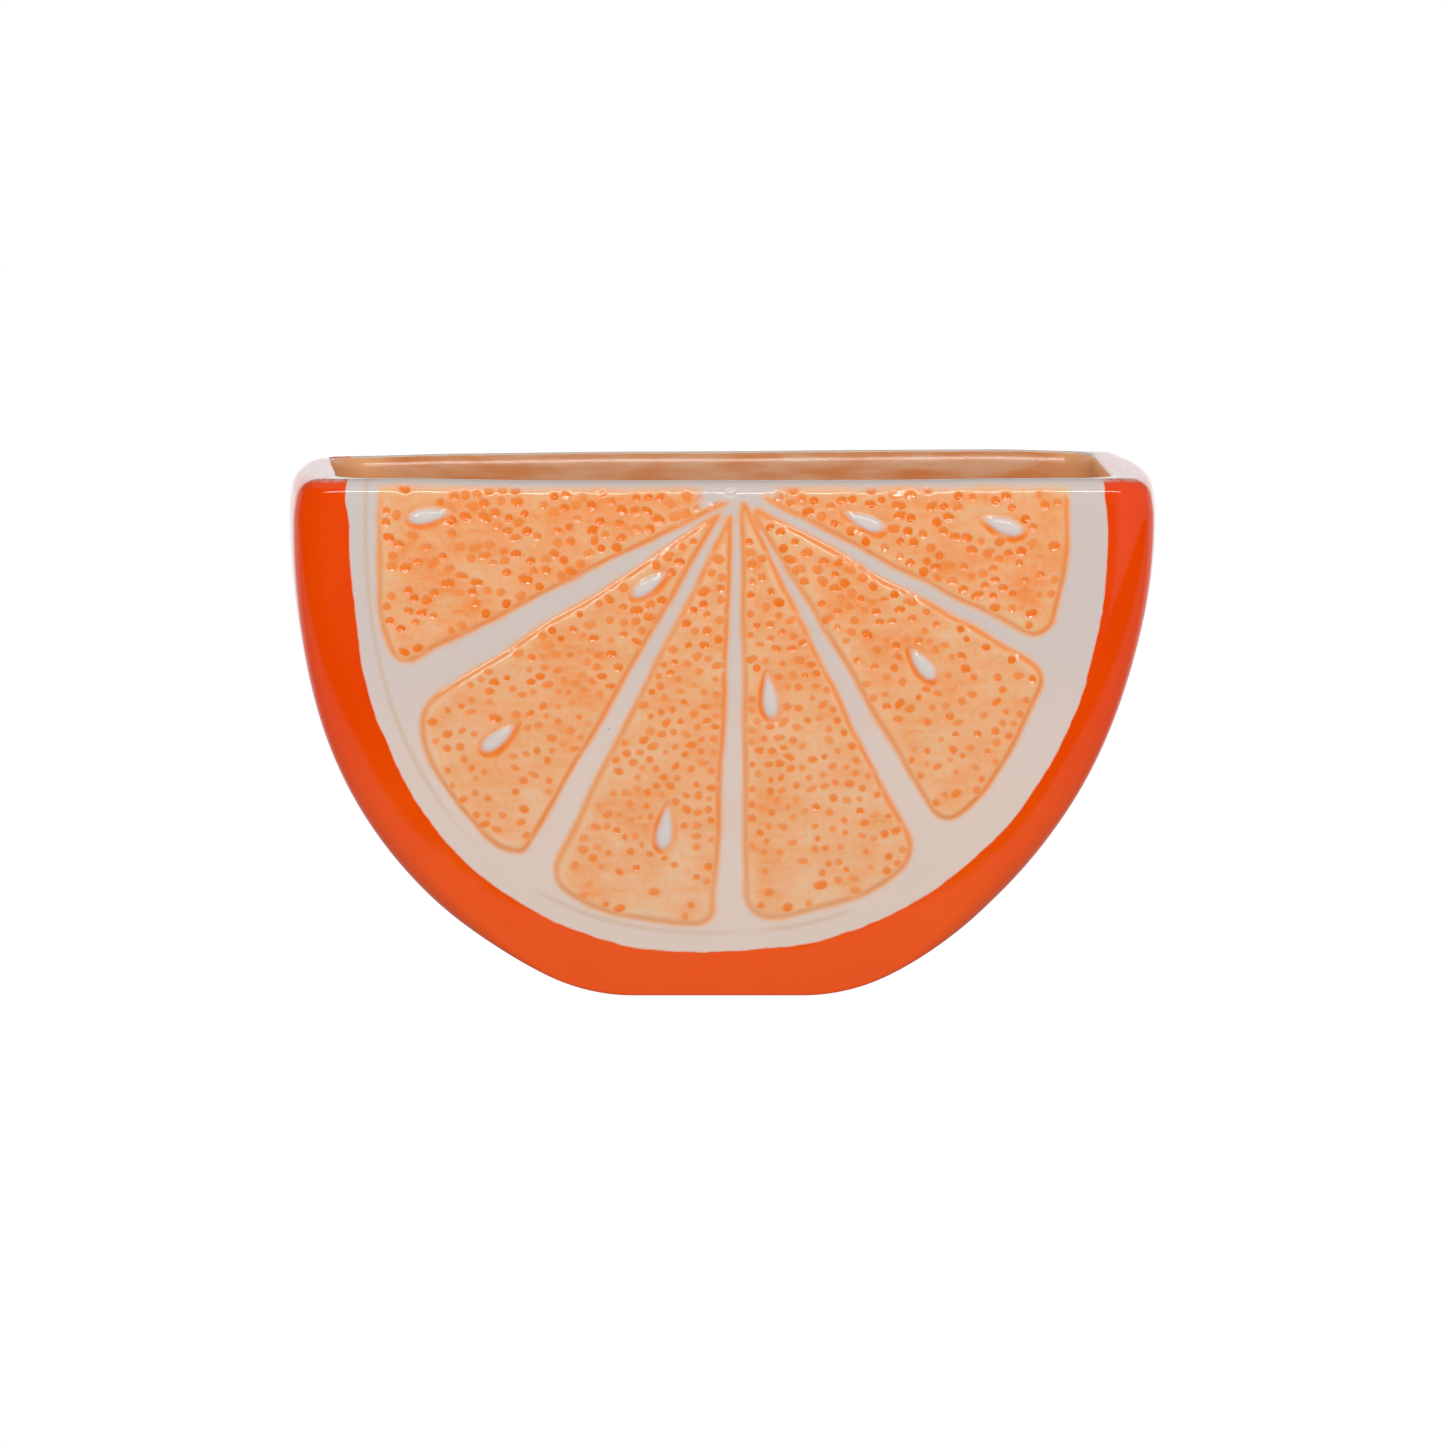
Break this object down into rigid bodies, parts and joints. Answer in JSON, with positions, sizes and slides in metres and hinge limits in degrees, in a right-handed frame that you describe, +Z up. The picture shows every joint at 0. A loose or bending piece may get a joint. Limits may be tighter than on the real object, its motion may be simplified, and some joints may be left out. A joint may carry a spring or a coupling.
{
  "type": "ceramic orange slice planter",
  "caption": "Hollow half-round planter of glazed ceramic, shaped and painted as half an orange slice, open at the top, with raised segments and a flat foot.",
  "frame": {"origin": "middle of the flat foot, on the surface it stands on", "axes": "+X to the right along the width as seen from the front, -Y towards the viewer, +Z up"},
  "size_m": [0.1596, 0.0708, 0.0938],
  "materials": {
    "glaze": "glossy"
  },
  "bodies": {
    "root": {"planter": "glaze"}
  },
  "joints": []
}
